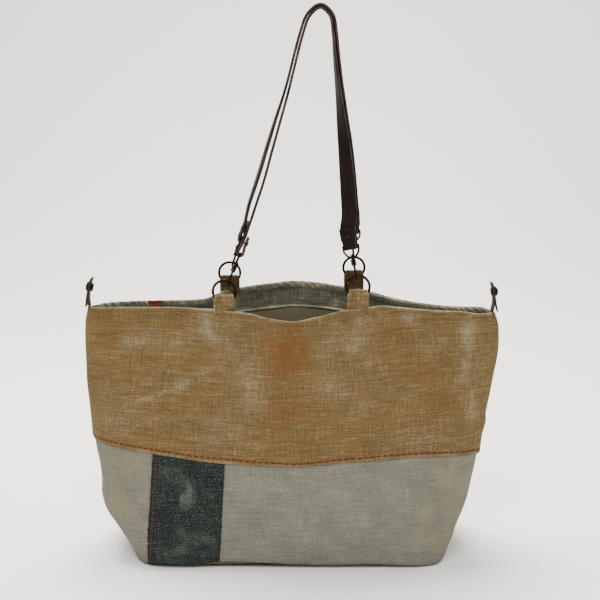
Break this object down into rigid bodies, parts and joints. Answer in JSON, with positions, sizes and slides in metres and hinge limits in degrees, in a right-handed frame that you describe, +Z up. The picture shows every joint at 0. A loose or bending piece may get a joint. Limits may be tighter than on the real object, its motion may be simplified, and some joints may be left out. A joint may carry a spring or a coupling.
{
  "type": "handbag",
  "caption": "Open-topped soft linen tote handbag with patchwork body, faced rim, lining, leather handles on rings and snap hooks, and leather side tabs.",
  "frame": {"origin": "centre of the underside of the base, on the surface that the bag stands on", "axes": "+Z up to the top of the handles, -Y out of the front with the charcoal patch, +X to the right seen from the front"},
  "size_m": [0.4885, 0.1681, 0.6373],
  "materials": {
    "tan_linen": "matte washed linen",
    "grey_linen": "matte washed linen",
    "charcoal_linen": "matte",
    "facing_linen": "matte stonewashed",
    "taupe_linen": "matte",
    "dark_leather": "soft sheen",
    "dark_bronze": "antique bronze"
  },
  "bodies": {
    "bag": {"front_upper_panel": "tan_linen", "back_upper_panel": "tan_linen", "front_lower_left_panel": "grey_linen", "charcoal_patch": "charcoal_linen", "front_lower_right_panel": "grey_linen", "back_lower_panel": "grey_linen", "base_panel": "grey_linen", "facing": "facing_linen", "lining": "taupe_linen", "ring_front_left": "dark_bronze", "loop_front_left": "tan_linen", "eye_front_left": "dark_bronze", "rivet_front_left": "dark_bronze", "ring_front_right": "dark_bronze", "loop_front_right": "tan_linen", "eye_front_right": "dark_bronze", "rivet_front_right": "dark_bronze", "ring_back_left": "dark_bronze", "loop_back_left": "tan_linen", "eye_back_left": "dark_bronze", "rivet_back_left": "dark_bronze", "ring_back_right": "dark_bronze", "loop_back_right": "tan_linen", "eye_back_right": "dark_bronze", "rivet_back_right": "dark_bronze", "strap_front": "dark_leather", "strap_back": "dark_leather", "side_tab_left": "dark_leather", "side_tab_right": "dark_leather", "snap_left": "dark_bronze", "snap_right": "dark_bronze"},
    "hook_front_left": {"hook_front_left": "dark_bronze"},
    "gate_front_left": {"gate_front_left": "dark_bronze"},
    "hook_front_right": {"hook_front_right": "dark_bronze"},
    "gate_front_right": {"gate_front_right": "dark_bronze"},
    "hook_back_left": {"hook_back_left": "dark_bronze"},
    "gate_back_left": {"gate_back_left": "dark_bronze"},
    "hook_back_right": {"hook_back_right": "dark_bronze"},
    "gate_back_right": {"gate_back_right": "dark_bronze"}
  },
  "joints": [
    {"name": "swivel_front_left", "type": "hinge", "parent": "bag", "child": "hook_front_left", "pos_m": [-0.07327, -0.05161, 0.32929], "axis": [0.3848, 0.1736, 0.9065], "range_deg": [-20, 20]},
    {"name": "gate_hinge_front_left", "type": "hinge", "parent": "hook_front_left", "child": "gate_front_left", "pos_m": [-0.06679, -0.04483, 0.34455], "axis": [-0.9205, 0, 0.3907], "range_deg": [0, 25], "stiffness_Nm_per_rad": 0.002, "springref_deg": -11.46},
    {"name": "swivel_front_right", "type": "hinge", "parent": "bag", "child": "hook_front_right", "pos_m": [0.07168, -0.05262, 0.33567], "axis": [-0.1885, 0.1564, 0.9695], "range_deg": [-20, 20]},
    {"name": "gate_hinge_front_right", "type": "hinge", "parent": "hook_front_right", "child": "gate_front_right", "pos_m": [0.06849, -0.04613, 0.35206], "axis": [-0.9816, 0, -0.1908], "range_deg": [0, 25], "stiffness_Nm_per_rad": 0.002, "springref_deg": -11.46},
    {"name": "swivel_back_left", "type": "hinge", "parent": "bag", "child": "hook_back_left", "pos_m": [-0.07389, 0.05161, 0.33199], "axis": [0.3196, -0.1908, 0.9281], "range_deg": [-20, 20]},
    {"name": "gate_hinge_back_left", "type": "hinge", "parent": "hook_back_left", "child": "gate_back_left", "pos_m": [-0.06853, 0.04454, 0.34754], "axis": [0.9455, 0, -0.3256], "range_deg": [0, 25], "stiffness_Nm_per_rad": 0.002, "springref_deg": -11.46},
    {"name": "swivel_back_right", "type": "hinge", "parent": "bag", "child": "hook_back_right", "pos_m": [0.073, 0.05262, 0.33863], "axis": [-0.0517, -0.1564, 0.9863], "range_deg": [-20, 20]},
    {"name": "gate_hinge_back_right", "type": "hinge", "parent": "hook_back_right", "child": "gate_back_right", "pos_m": [0.07213, 0.04613, 0.3553], "axis": [0.9986, 0, 0.0523], "range_deg": [0, 25], "stiffness_Nm_per_rad": 0.002, "springref_deg": -11.46}
  ]
}
